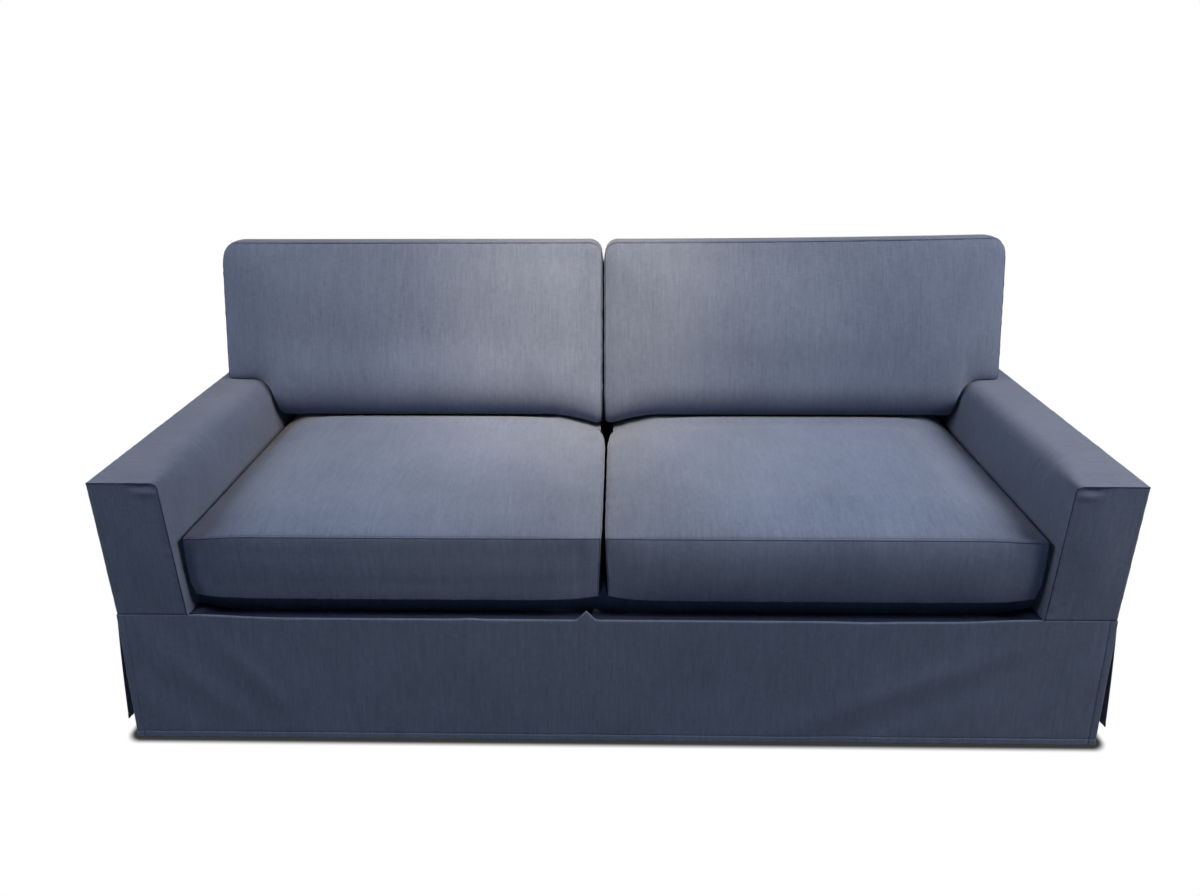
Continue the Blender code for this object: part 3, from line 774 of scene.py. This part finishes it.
class Box:
    """Surface of a box-like cushion, cut at places along three axes, with its faces sewn together."""

    def __init__(self, places):
        self.places = places
        counts = [len(p) for p in places]
        shell = np.zeros(counts, bool)
        shell[[0, -1]] = shell[:, [0, -1]] = shell[:, :, [0, -1]] = True
        self.number = -np.ones(counts, int)
        self.number[shell] = np.arange(shell.sum())
        self.cells = np.argwhere(shell)
        self.params = np.stack([places[i][self.cells[:, i]] for i in range(3)], axis=1)

    def face(self, axis, end):
        """Vertex numbers of one face as a grid."""
        return self.number.take(end, axis=axis)

    def quads(self):
        """(quads, the two map axes of each quad), facing outward in the axes' own frame."""
        all_quads, all_axes = [], []
        for axis, end in FACES:
            grid = self.face(axis, end)
            quads = np.stack((grid[:-1, :-1], grid[1:, :-1], grid[1:, 1:], grid[:-1, 1:]), axis=2)
            quads = quads.reshape(-1, 4)
            outward_first = (axis != 1) == (end == -1)
            all_quads.append(quads if outward_first else quads[:, ::-1])
            all_axes.append(np.repeat([[i for i in range(3) if i != axis]], len(quads), axis=0))
        return np.concatenate(all_quads), np.concatenate(all_axes)


def seat_shape(side):
    """Seat cushion: a, b and c run outward from the split, back from the front and up."""
    inner = SPLIT_X + side * SPLIT_GAP / 2
    outer = side * SEAT_OUTER_X
    foot = DECK_TOP + GAP
    crest_depth = SEAT_CREST_Y - SEAT_FRONT_Y

    def top_height(a, b, across, back):
        swift = 1 - np.exp(-back * crest_depth / SEAT_SWIFT)
        slow = 1 - (1 - back) ** 2
        full = 1 - np.abs(across) ** np.where(a > 0.5, SEAT_FULL_OUTER, SEAT_FULL_INNER)
        rear_start, rear_width = SEAT_REAR_LOW["start"], SEAT_REAR_LOW["width"]
        inner_rear = np.clip(1 - a / rear_width, 0, 1) ** 2 * ease((back - rear_start) / (1 - rear_start))
        rise = full * mix(slow, swift, SEAT_SWIFT_SHARE) * (1 - SEAT_REAR_LOW["share"] * inner_rear)
        lift = SEAT_SEAM_LIFT * ease((1 - a) / SEAT_LIFT_WIDTH) * (1 - ease(back / SEAT_LIFT_DEPTH))
        high = SEAT_SEAM + lift + CROWN_SHARE * SEAT_CROWN * rise
        pressed = ease((b * SEAT_DEPTH - crest_depth) / (SEAT_FLAT_Y - SEAT_CREST_Y))
        return mix(high, np.minimum(high, SEAT_REST), pressed)

    def place(a, b, c):
        across = 2 * a - 1
        end = np.abs(across) ** SEAT_CORNER_POWER
        back = np.minimum(1.0, b * SEAT_DEPTH / crest_depth)
        near_front = 1 - np.minimum(1.0, back / SEAT_FOOT_REACH)
        low = foot + (SEAT_FRONT_FOOT - foot + SEAT_CORNER_LIFT * end) * near_front ** 2
        z = mix(low, top_height(a, b, across, back), c)

        belly = 1 - np.abs(2 * c - 1) ** SEAT_BELLY_UP
        towards_inner, towards_outer = ease(1 - a / SEAT_END), ease(1 - (1 - a) / SEAT_END)
        x = mix(inner, outer, a)
        round_share = mix(SEAT_ROUND_LOW, SEAT_ROUND_HIGH, ease(c / np.where(a < 0.5, 1.0, SEAT_ROUND_OUTER)))
        opening = SEAT_CORNER_ROUND * round_share * end * near_front ** 2
        x = x + side * opening * (towards_inner - towards_outer)
        x = x + side * SEAT_END_BELLY * belly * towards_outer
        rear_round = rounding(1 - back, SEAT_REAR_REACH, SEAT_REAR_ROUND)
        x = x + side * rear_round * ease(1 - a / SEAT_REAR_WIDTH) * c

        leaning = ease((b - SEAT_LEAN_START) / (1 - SEAT_LEAN_START))
        y = SEAT_FRONT_Y + b * (SEAT_DEPTH + (z - SEAT_REST) * BACK_LEAN * leaning)
        y = y - SEAT_BELLY * belly * ease(1 - back / SEAT_END) * (1 - across ** SEAT_BELLY_ACROSS)
        y = y + SEAT_END_BACK * end * near_front ** 2
        return np.stack((x, y, z), axis=-1)

    return place


def back_shape(side):
    """Back cushion that leans on the back and steps out over the arm at its outer end."""
    inner = BACK_SPLIT_X + side * BACK_SPLIT_GAP / 2
    outer = side * EAR_OUTER_X[side]
    span = abs(outer - inner)
    step_end = side * (arm_inner_x(ARM_TOP - ARM_ROUND_BEHIND) - GAP)
    step_start = step_end - side * EAR_STEP

    def place(a, b, c):
        x = mix(inner, outer, a)
        on_arm = ease((x - step_start) / (step_end - step_start))
        from_inner, to_outer = np.abs(x - inner), np.abs(outer - x)
        share = from_inner / span
        over_arm = ARM_TOP + GAP - arm_top_drop(np.abs(x) + GAP)
        sag = BACK_FOOT_SAG * (1 - np.minimum(1, from_inner / BACK_SAG_REACH)) ** 2
        on_seat = SEAT_REST + GAP - sag + rounding(from_inner, BACK_FOOT_ROUND, BACK_FOOT_ROUND)
        low = mix(on_seat, over_arm, on_arm)
        high = BACK_SEAM + EAR_RISE[side] * share ** 2 - rounding(from_inner, INNER_ROUND, INNER_ROUND) \
            - rounding(to_outer, CUSHION_ROUND, CUSHION_ROUND)
        z = mix(low, high, c)

        upper = ease((c - BACK_UPPER) / (1 - BACK_UPPER))
        across, up = np.abs(2 * share - 1), np.abs(2 * c - 1)
        fill = (1 - across ** BACK_FULL_ACROSS) * (1 - up ** BACK_FULL_UP)
        roll = rounding(z - low, BACK_ROLL, BACK_ROLL_DEPTH) * (1 - on_arm)
        edge = (across ** BACK_EDGE_POWER + up ** BACK_EDGE_POWER) * BACK_EDGE
        front = BACK_FRONT_Y + (z - SEAT_REST) * BACK_FRONT_LEAN - CROWN_SHARE * BACK_CROWN * fill \
            + edge + roll
        fall = BACK_TOP_FALL * upper
        rear = inside_back_y(z - fall) - BACK_REAR_GAP
        middle = 4 * b * (1 - b)
        z = z + BAND_CROWN * middle * upper - fall * b
        x = x + side * BAND_SWELL * middle * ease((share - 1 + BAND_END) / BAND_END)
        # between the cushions the cloth swells until it touches its neighbour
        touching = (BACK_SPLIT_GAP / 2 - GAP) * np.sqrt(middle) * ease((1 - c) / 0.06) * ease(c / 0.2)
        x = x - side * touching * ease((BAND_END - share) / BAND_END)
        return np.stack((x, mix(front, rear, b), z), axis=-1)

    return place


def along_axis(values, places, wanted, axis):
    """Smooth values of a grid at wanted places along one axis, exact at its own places."""
    values = np.moveaxis(values, axis, 0)
    slopes = np.gradient(values, places, axis=0)
    cell = np.clip(np.searchsorted(places, wanted, side="right") - 1, 0, len(places) - 2)
    column = (-1, *[1] * (values.ndim - 1))
    width = (places[cell + 1] - places[cell]).reshape(column)
    t = (wanted - places[cell]).reshape(column) / width
    start, end = values[cell], values[cell + 1]
    a, b = slopes[cell] * width, slopes[cell + 1] * width
    smooth = start + t * (a + t * ((3 * (end - start) - 2 * a - b) + t * (2 * (start - end) + a + b)))
    return np.moveaxis(smooth, 0, axis)


def swell(name, box, points, pins, cap):
    """How each point of a closed form moves when it is blown up as cloth that is held at its pins."""
    quads, _ = box.quads()
    mesh = bpy.data.meshes.new(name + "_start")
    mesh.from_pydata(points.tolist(), [], quads.tolist())
    form = add_object(name + "_start", mesh)
    group = form.vertex_groups.new(name="held")
    group.add(np.flatnonzero(pins).tolist(), 1.0, "REPLACE")
    settings = form.modifiers.new("swell", "CLOTH").settings
    settings.quality = 6
    settings.mass = 0.2
    settings.tension_stiffness = settings.compression_stiffness = 25
    settings.shear_stiffness = 12
    settings.bending_stiffness = 1.0
    settings.use_pressure = True
    settings.uniform_pressure_force = 3.0
    settings.vertex_group_mass = "held"
    settings.effector_weights.gravity = 0
    scene = bpy.context.scene
    for step in range(SWELL_FRAMES):
        scene.frame_set(step + 1)
    shown = form.evaluated_get(bpy.context.evaluated_depsgraph_get())
    after = np.empty(len(points) * 3, np.float32)
    shown.data.vertices.foreach_get("co", after)
    move = after.reshape(-1, 3) - points
    bpy.data.objects.remove(form)
    bpy.data.meshes.remove(mesh)
    scene.frame_set(1)
    length = np.linalg.norm(move, axis=1, keepdims=True)
    return move * np.minimum(1, cap / np.maximum(length, 1e-9))


def finer(coarse, fine, field):
    """A field on the coarse box's surface, read at the places of the fine one."""
    out = np.zeros((len(fine.cells), field.shape[1]))
    for axis, end in FACES:
        grid = field[coarse.face(axis, end)]
        kept = [i for i in range(3) if i != axis]
        for i, along in enumerate(kept):
            grid = along_axis(grid, coarse.places[along], fine.places[along], i)
        out[fine.face(axis, end).ravel()] = grid.reshape(-1, field.shape[1])
    return out


def in_shade(fine, sizes, quads):
    """Which faces get painted shade: the front's seams, the split beside the next cushion and the underside.
    """
    middle = fine.params[quads].mean(axis=1)
    a, b, c = middle.T
    from_edge = np.minimum(middle, 1 - middle) * sizes
    seam = (b < TINY) & (np.minimum(from_edge[:, 0], from_edge[:, 2]) < SEAM_SHADE)
    split = (a < TINY) & (b * sizes[1] > SPLIT_SHADE) & ((1 - c) * sizes[2] > SPLIT_SHADE_TOP)
    under = c < TINY
    return seam | split | under


def vertex_normals(points, quads):
    corners = points[quads]
    faces = np.cross(corners[:, 2] - corners[:, 0], corners[:, 3] - corners[:, 1])
    unit = faces / np.maximum(np.linalg.norm(faces, axis=1, keepdims=True), 1e-12)
    normal = np.zeros_like(points)
    for k in range(4):
        np.add.at(normal, quads[:, k], unit)
    return normal / np.maximum(np.linalg.norm(normal, axis=1, keepdims=True), 1e-12)


def cushion_relief(fine, sizes, seed):
    """Height of each point over the plain form: puckers, drawn-in seams and the stitched groove."""
    metres = fine.params * sizes
    from_edge = np.sort(np.minimum(fine.params, 1 - fine.params) * sizes, axis=1)[:, 1]
    seam = rounding(from_edge, SEAM_REACH, SEAM_DIP)
    on_top = fine.params[:, 2] > 1 - TINY
    groove = SEAM_GROOVE * np.exp(-((from_edge - SEAM_LINE) / SEAM_LINE_WIDTH) ** 2) * on_top
    return pucker(from_edge, metres.sum(axis=1), seed, CUSHION_PUCKER) - seam - groove


def cushion(name, node, sizes, place, free, cap, seed):
    """A filled cushion: a coarse form swells as cloth between its seams, then gets its fine surface.

    free(a, b, c) is 0 where the cloth is held and up to 1 where it swells, by cap at most.
    """
    sizes = np.array(sizes)
    fine_places = [spaced(size, CUSHION_STEP, "flush", "flush") / size for size in sizes]
    for row in fine_places:
        row[0], row[-1] = 0.0, 1.0
    fine = Box(fine_places)
    points = place(*fine.params.T)
    coarse = Box([np.linspace(0, 1, max(4, round(size / COARSE_STEP)) + 1) for size in sizes])
    share = free(*coarse.params.T)
    move = swell(name, coarse, place(*coarse.params.T), share <= 0, cap) * share[:, None]
    points = points + finer(coarse, fine, move)
    quads, axes = fine.quads()
    facing = np.cross(points[quads[:, 1]] - points[quads[:, 0]], points[quads[:, 3]] - points[quads[:, 0]])
    outward = points[quads].mean(axis=1) - points.mean(axis=0)
    if (facing * outward).sum() < 0:
        quads = quads[:, ::-1]
    points = points + vertex_normals(points, quads) * cushion_relief(fine, sizes, seed)[:, None]
    metres = fine.params * sizes
    weave = [np.take_along_axis(metres[quads[:, k]], axes, axis=1) for k in range(4)]
    weave = np.stack(weave, axis=1) + weave_shift(name)
    piece = make_mesh(name, points, quads, weave.reshape(-1, 2))
    piece.data.set_sharp_from_angle(angle=math.radians(60))
    paint(piece, CUSHION, in_shade(fine, sizes, quads))
    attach(piece, "root")
    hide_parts(node)


def seats():
    def free(a, b, c):
        """The front face between its seams, and the top up to where the back cushions stand."""
        front = (b < TINY) * held(a, 0.06) * held(c, 0.25)
        top = (c > 1 - TINY) * held(a, 0.04) * ease(b / 0.05) * ease((0.70 - b) / 0.08)
        return np.maximum(front, top)

    for side, label in SIDES:
        width = SEAT_OUTER_X - side * SPLIT_X - SPLIT_GAP / 2
        cushion("cushion_seat_" + label, "seat_cushion_" + label, (width, SEAT_DEPTH, SEAT_SEAM - DECK_TOP),
                seat_shape(side), free, SEAT_SWELLING, 200 + side)


def backs():
    def free(a, b, c):
        """The front face, but for its lower part and its outer end."""
        inside = held(a, 0.05) * held(c, 0.08)
        return (b < TINY) * inside * ease((0.90 - a) / 0.12) * ease((c - 0.25) / 0.25)

    for side, label in SIDES:
        width = EAR_OUTER_X[side] - side * BACK_SPLIT_X - BACK_SPLIT_GAP / 2
        cushion("cushion_back_" + label, "back_cushion_" + label, (width, BACK_THICK, BACK_SEAM - SEAT_REST),
                back_shape(side), free, BACK_SWELLING, 300 + side)


# ---------------- studio
CAMERA = dict(x=0.0094, y=-1.5694, height=1.3382, yaw=-1.1747, pitch=22.532, roll=-0.2681, lens=27.261)
FLOOR_REACH = 60.0
FLOOR_BOUNCE = 0.15  # light that the floor throws back on the cover
# painted contact shadow: full up to a rounding outside a rectangle, then fading
FLOOR_SHADE = dict(low=(-1.022, 0.020), high=(1.022, 0.955), round=0.024, fade=0.018, dark=0.04)
LAMPS = [  # deep is for a soft panel, cone in degrees for a spot
    dict(name="front_low", place=(0.0, -4.0, 1.0), aim=(0, 0.4, 0.5),
         wide=4.0, deep=1.6, power=25.5, colour=(0.50, 0.73, 1)),
    dict(name="left_high", place=(-2.5, -0.3, 2.4), aim=(0, 0.4, 0.5),
         wide=1.5, deep=1.5, power=67, colour=(1, 0.97, 0.91)),
    dict(name="right_high", place=(2.5, -0.3, 2.4), aim=(0, 0.4, 0.5),
         wide=1.5, deep=1.5, power=125, colour=(1, 0.92, 0.80)),
    dict(name="behind", place=(0.0, 5.0, 0.45), aim=(0, 0.9, 0.45),
         wide=4.0, deep=0.6, power=80, colour=(0.95, 0.97, 1)),
    dict(name="back_spot", place=(0.50, -0.7, 2.5), aim=(-0.12, 0.62, 0.72),
         wide=0.15, cone=44, power=170, colour=(1, 0.78, 0.45)),
    dict(name="back_spot_small", place=(0.50, -0.6, 3.2), aim=(-0.12, 0.62, 0.72),
         wide=0.15, cone=18, power=520, colour=(1, 0.75, 0.48)),
    dict(name="left_seat_spot", place=(-0.45, 0.2, 2.6), aim=(-0.50, 0.30, 0.50),
         wide=0.15, cone=28, power=62, colour=(0.60, 0.80, 1)),
    dict(name="right_seat_spot", place=(0.42, 0.2, 2.6), aim=(0.45, 0.30, 0.50),
         wide=0.15, cone=28, power=84, colour=(0.70, 0.87, 1)),
]


def camera():
    data = bpy.data.cameras.new("camera")
    data.sensor_width = 36
    data.sensor_fit = "HORIZONTAL"
    data.lens = CAMERA["lens"]
    data.clip_start, data.clip_end = 0.05, 200
    yaw, pitch, roll = (math.radians(CAMERA[key]) for key in ("yaw", "pitch", "roll"))
    ahead = Vector((math.sin(yaw) * math.cos(pitch), math.cos(yaw) * math.cos(pitch), -math.sin(pitch)))
    right = Vector((math.cos(yaw), -math.sin(yaw), 0))
    up = right.cross(ahead)
    rolled_right = right * math.cos(roll) + up * math.sin(roll)
    rolled_up = up * math.cos(roll) - right * math.sin(roll)
    turn = Matrix((rolled_right, rolled_up, -ahead)).transposed().to_4x4()
    place = Vector((CAMERA["x"], CAMERA["y"], CAMERA["height"])) - Vector(HANG_POINT)
    eye = add_object("camera", data)
    eye.matrix_world = Matrix.Translation(place) @ turn
    bpy.context.scene.camera = eye


def floor_paint(level):
    """White to the camera, with a painted contact shadow around the cover, and dim to the light."""
    made = bpy.data.materials.new("floor_paint")
    made.use_nodes = True
    nodes, link = made.node_tree.nodes, made.node_tree.links.new
    matt = nodes["Principled BSDF"]
    matt.inputs["Base Color"].default_value = (FLOOR_BOUNCE, FLOOR_BOUNCE, FLOOR_BOUNCE, 1)
    matt.inputs["Roughness"].default_value = 1.0
    matt.inputs["Specular IOR Level"].default_value = 0.0

    def vector(operation, first, second):
        new = nodes.new("ShaderNodeVectorMath")
        new.operation = operation
        for socket, value in zip(new.inputs, (first, second)):
            if isinstance(value, tuple):
                socket.default_value = value
            else:
                link(value, socket)
        return new.outputs["Value" if operation == "LENGTH" else "Vector"]

    where = nodes.new("ShaderNodeNewGeometry").outputs["Position"]
    (low_x, low_y), (high_x, high_y) = FLOOR_SHADE["low"], FLOOR_SHADE["high"]
    below = vector("SUBTRACT", (low_x, low_y - HANG_POINT[1], level), where)
    above = vector("SUBTRACT", where, (high_x, high_y - HANG_POINT[1], level))
    outside = vector("MAXIMUM", vector("MAXIMUM", below, above), (0, 0, 0))
    shade = nodes.new("ShaderNodeMapRange")
    shade.interpolation_type = "SMOOTHSTEP"
    shade.inputs["From Min"].default_value = FLOOR_SHADE["round"]
    shade.inputs["From Max"].default_value = FLOOR_SHADE["round"] + FLOOR_SHADE["fade"]
    shade.inputs["To Min"].default_value = FLOOR_SHADE["dark"]
    link(vector("LENGTH", outside, (0, 0, 0)), shade.inputs["Value"])
    white = nodes.new("ShaderNodeEmission")
    link(shade.outputs[0], white.inputs["Strength"])
    choice = nodes.new("ShaderNodeMixShader")
    link(nodes.new("ShaderNodeLightPath").outputs["Is Camera Ray"], choice.inputs[0])
    link(matt.outputs[0], choice.inputs[1])
    link(white.outputs[0], choice.inputs[2])
    link(choice.outputs[0], nodes["Material Output"].inputs["Surface"])
    return made


def floor():
    level = -HANG_POINT[2]
    mesh = bpy.data.meshes.new("floor")
    corners = [(x * FLOOR_REACH, y * FLOOR_REACH, level) for x, y in ((-1, -1), (1, -1), (1, 1), (-1, 1))]
    mesh.from_pydata(corners, [], [(0, 1, 2, 3)])
    mesh.materials.append(floor_paint(level))
    add_object("floor", mesh)


def backdrop():
    """White to the camera, and no light of its own."""
    world = bpy.data.worlds.new("studio")
    world.use_nodes = True
    nodes = world.node_tree.nodes
    nodes["Background"].inputs["Color"].default_value = (1, 1, 1, 1)
    seen = nodes.new("ShaderNodeLightPath").outputs["Is Camera Ray"]
    world.node_tree.links.new(seen, nodes["Background"].inputs["Strength"])
    bpy.context.scene.world = world
    bpy.context.scene.view_settings.view_transform = "Standard"


def lamps():
    for row in LAMPS:
        if "cone" in row:
            lamp = bpy.data.lights.new(row["name"], "SPOT")
            lamp.spot_size = math.radians(row["cone"])
            lamp.spot_blend = 1.0
            lamp.shadow_soft_size = row["wide"]
        else:
            lamp = bpy.data.lights.new(row["name"], "AREA")
            lamp.shape = "RECTANGLE"
            lamp.size, lamp.size_y = row["wide"], row["deep"]
        lamp.energy = row["power"]
        lamp.color = row["colour"]
        place, aim = Vector(row["place"]), Vector(row["aim"])
        turn = (aim - place).to_track_quat("-Z", "Y").to_matrix().to_4x4()
        stand = add_object(row["name"], lamp)
        stand.matrix_world = Matrix.Translation(place - Vector(HANG_POINT)) @ turn
        stand.visible_camera = False


def main():
    for side, label in SIDES:
        arm_front(side, label)
        arm_cover(side, label)
        arm_outside(side, label)
        back_end(side, label)
        skirt_side(side, label)
    inside_back()
    back_top()
    back_outside()
    deck()
    skirt_front()
    skirt_back()
    seats()
    backs()
    camera()
    floor()
    backdrop()
    lamps()


main()
